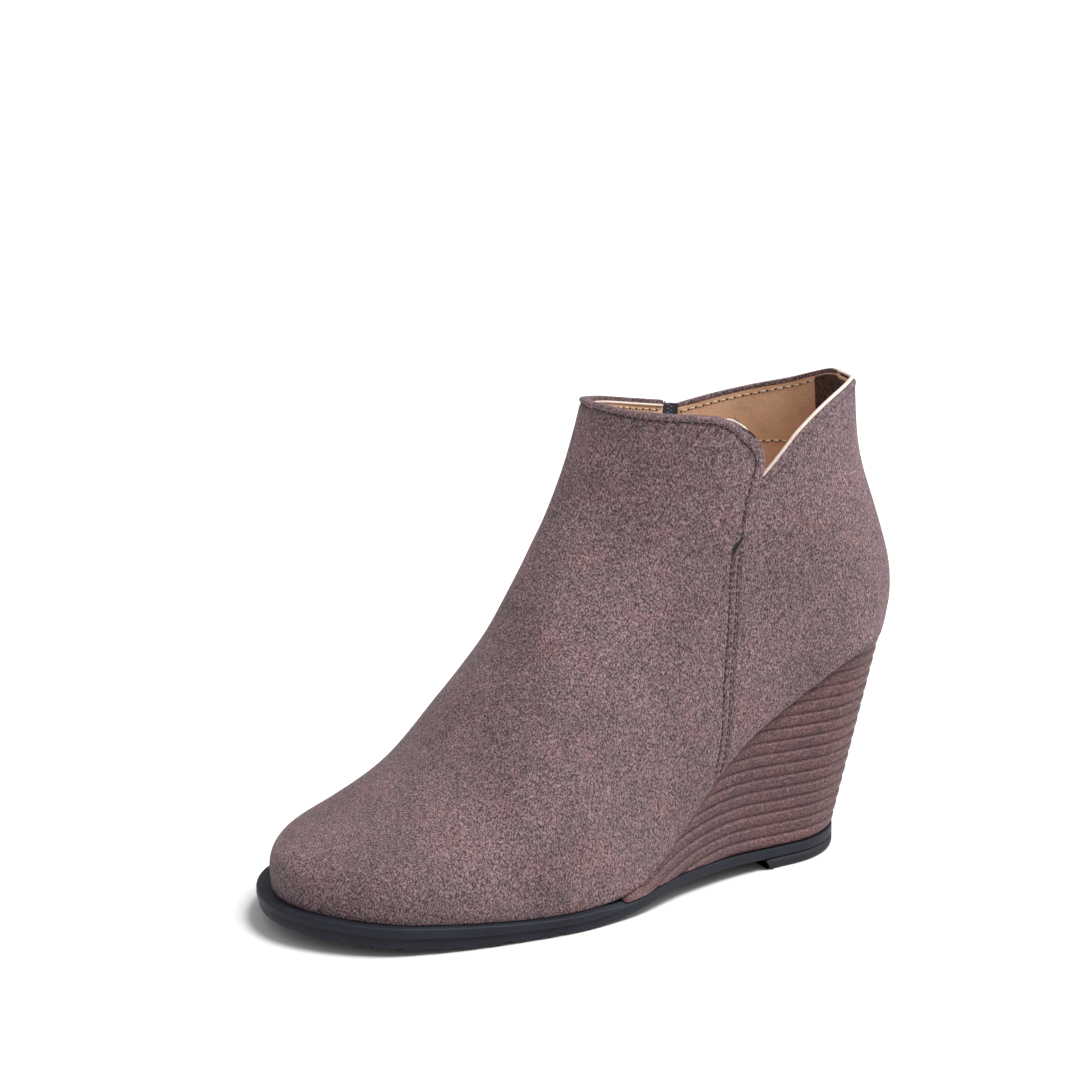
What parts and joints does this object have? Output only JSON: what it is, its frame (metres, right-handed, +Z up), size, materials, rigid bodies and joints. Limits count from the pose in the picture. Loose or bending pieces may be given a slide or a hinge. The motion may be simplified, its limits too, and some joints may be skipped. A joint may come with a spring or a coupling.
{
  "type": "ankle_boot",
  "caption": "Ankle boot for the left foot in mauve-brown suede, on a full stacked-look wedge with a thin dark sole, a notched collar and a side zip",
  "frame": {"origin": "on the floor under the middle of the heel pad", "axes": "+X to the toe along the boot, +Y to the outer side of this left boot, +Z up"},
  "size_m": [0.24, 0.0941, 0.1672],
  "materials": {
    "suede": "napped suede, mauve brown",
    "wedge_cover": "satin, grained, in stacked layers",
    "sole_rubber": "matte, bluish black",
    "pad_rubber": "matte, black",
    "lining": "satin, tan",
    "zip_tape": "woven, navy black",
    "slider_metal": "dark, polished",
    "pull_paint": "satin paint, mauve"
  },
  "bodies": {
    "boot": {"upper": "suede", "wedge": "wedge_cover", "outsole": "sole_rubber", "heel_pad": "pad_rubber", "insole": "lining", "zip_chain": "zip_tape", "zip_slider": "slider_metal"},
    "zip_pull": {"zip_pull": "pull_paint"}
  },
  "joints": [
    {"name": "pull_hinge", "type": "hinge", "parent": "boot", "child": "zip_pull", "pos_m": [0.02575, -0.0332, 0.14924], "axis": [-0.9948, -0.0056, -0.102], "range_deg": [0, 150]}
  ]
}
